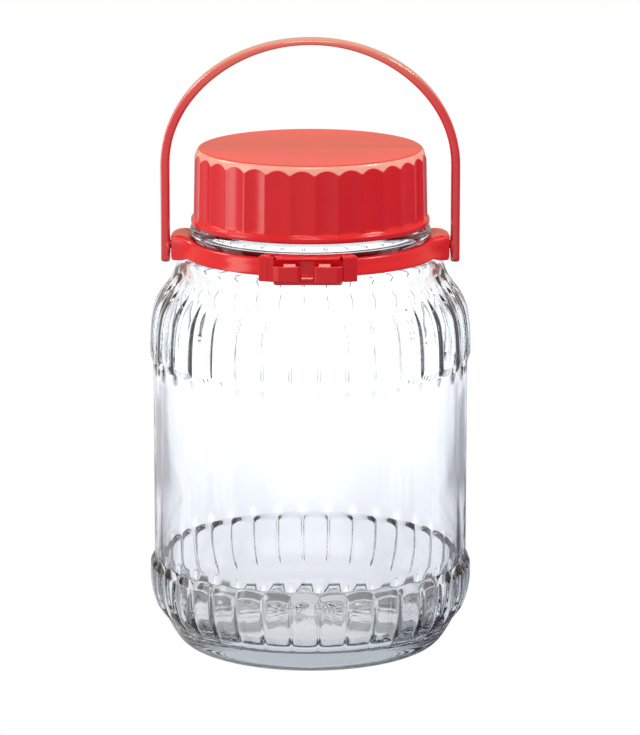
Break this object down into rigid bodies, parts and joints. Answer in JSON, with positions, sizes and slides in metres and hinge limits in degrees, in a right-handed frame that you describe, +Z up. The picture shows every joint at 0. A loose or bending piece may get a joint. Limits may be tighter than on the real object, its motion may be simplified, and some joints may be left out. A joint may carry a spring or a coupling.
{
  "type": "glass storage jar",
  "caption": "Ribbed clear glass storage jar with a fluted screw cap, a clasped neck collar and an upright swinging bail handle.",
  "frame": {"origin": "on the ground under the jar's axis, centre of the bounding box's bottom face", "axes": "+Z up through the cap; -Y towards the clasp at the front; X through the two handle pivots"},
  "size_m": [0.1652, 0.1652, 0.3134],
  "materials": {
    "clear_glass": "smooth, clear",
    "red_plastic": "satin gloss"
  },
  "bodies": {
    "jar": {"glass": "clear_glass", "cap": "red_plastic", "collar": "red_plastic", "clasp": "red_plastic"},
    "bail": {"handle": "red_plastic"}
  },
  "joints": [
    {"name": "bail_swing", "type": "hinge", "parent": "jar", "child": "bail", "pos_m": [0, 0, 0.2069], "axis": [1, 0, 0], "range_deg": [-118, 118]}
  ]
}
